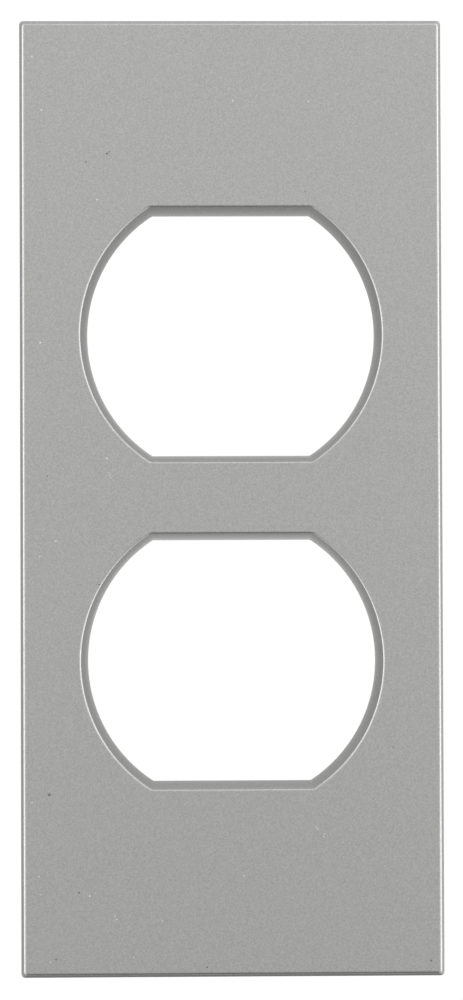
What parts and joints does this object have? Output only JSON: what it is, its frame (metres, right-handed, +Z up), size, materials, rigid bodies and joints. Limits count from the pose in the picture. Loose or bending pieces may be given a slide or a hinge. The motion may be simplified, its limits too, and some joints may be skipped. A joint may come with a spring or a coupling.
{
  "type": "duplex outlet cover plate",
  "caption": "Screwless clip-on wall plate for a duplex outlet, with a satin silver faceplate, round-sided openings and a hidden mounting frame held by a centre screw.",
  "frame": {"origin": "on the wall plane, on the axis of the centre screw, midway between the two openings", "axes": "+Z up along the plate's length, +Y into the wall along the screw, +X to the right of a person who faces the plate"},
  "size_m": [0.0502, 0.0158, 0.1138],
  "materials": {
    "silver_paint": "satin metallic silver paint on moulded plastic",
    "frame_plastic": "fine moulded texture, glass-filled",
    "clip_steel": "rolled stainless spring strip",
    "zinc_plate": "bright zinc plate",
    "washer_fibre": "pressed red fibre"
  },
  "bodies": {
    "frame": {"mounting_frame": "frame_plastic", "spring_clip_upper_right": "clip_steel", "spring_clip_upper_left": "clip_steel", "spring_clip_lower_right": "clip_steel", "spring_clip_lower_left": "clip_steel"},
    "faceplate": {"faceplate": "silver_paint"},
    "screw": {"centre_screw": "zinc_plate", "screw_retaining_washer": "washer_fibre"}
  },
  "joints": [
    {"name": "faceplate_pull", "type": "slide", "parent": "frame", "child": "faceplate", "axis": [0, -1, 0], "range_m": [0, 0.025], "deforming": ["spring_clip_upper_right", "spring_clip_upper_left", "spring_clip_lower_right", "spring_clip_lower_left"]},
    {"name": "screw_turn", "type": "hinge", "parent": "frame", "child": "screw", "pos_m": [0, 0, 0], "axis": [0, 1, 0], "continuous": true}
  ]
}
